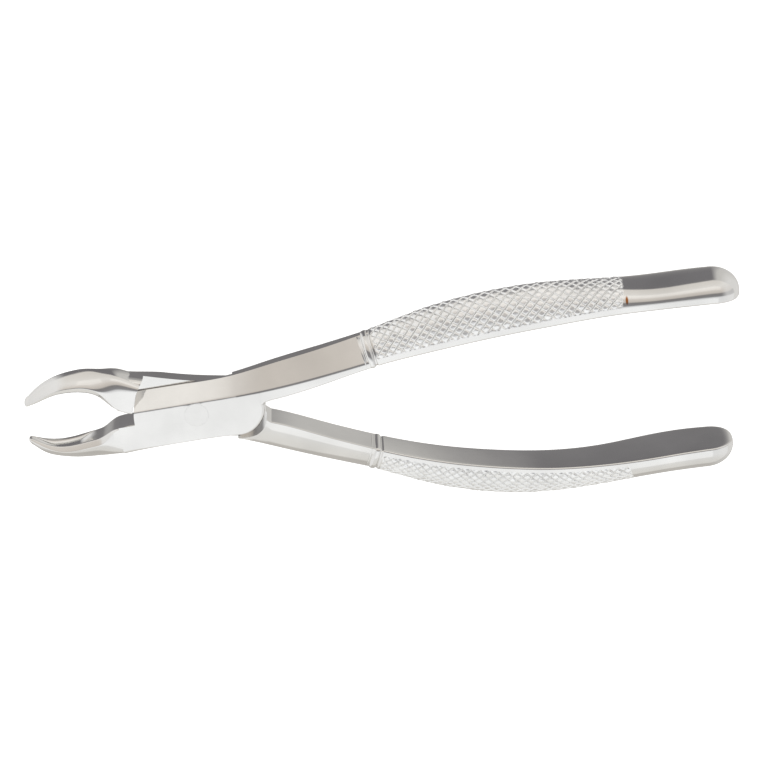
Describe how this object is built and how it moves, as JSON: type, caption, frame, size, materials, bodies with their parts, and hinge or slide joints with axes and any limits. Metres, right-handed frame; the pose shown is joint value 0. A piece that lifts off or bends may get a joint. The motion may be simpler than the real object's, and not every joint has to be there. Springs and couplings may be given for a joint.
{
  "type": "dental extraction forceps",
  "caption": "Steel pliers-like dental instrument: two crossing halves with hollow pointed beaks, a flush-riveted lap joint and long knurled handles that flare at the ends.",
  "frame": {"origin": "on the pivot axis, midway between the two outer faces of the lap joint", "axes": "+X towards the beaks along the instrument's length, +Z along the pivot axis out of the front half's lap face"},
  "size_m": [0.1795, 0.0576, 0.0142],
  "materials": {
    "polished_steel": "mirror polished stainless steel",
    "rivet_steel": "ground flush with the joint faces"
  },
  "bodies": {
    "rear": {"rear_half": "polished_steel", "pivot_rivet": "rivet_steel"},
    "front": {"front_half": "polished_steel"}
  },
  "joints": [
    {"name": "handle_pivot", "type": "hinge", "parent": "rear", "child": "front", "pos_m": [0, 0, 0], "axis": [0, 0, 1], "range_deg": [-10.5, 24.5]}
  ]
}
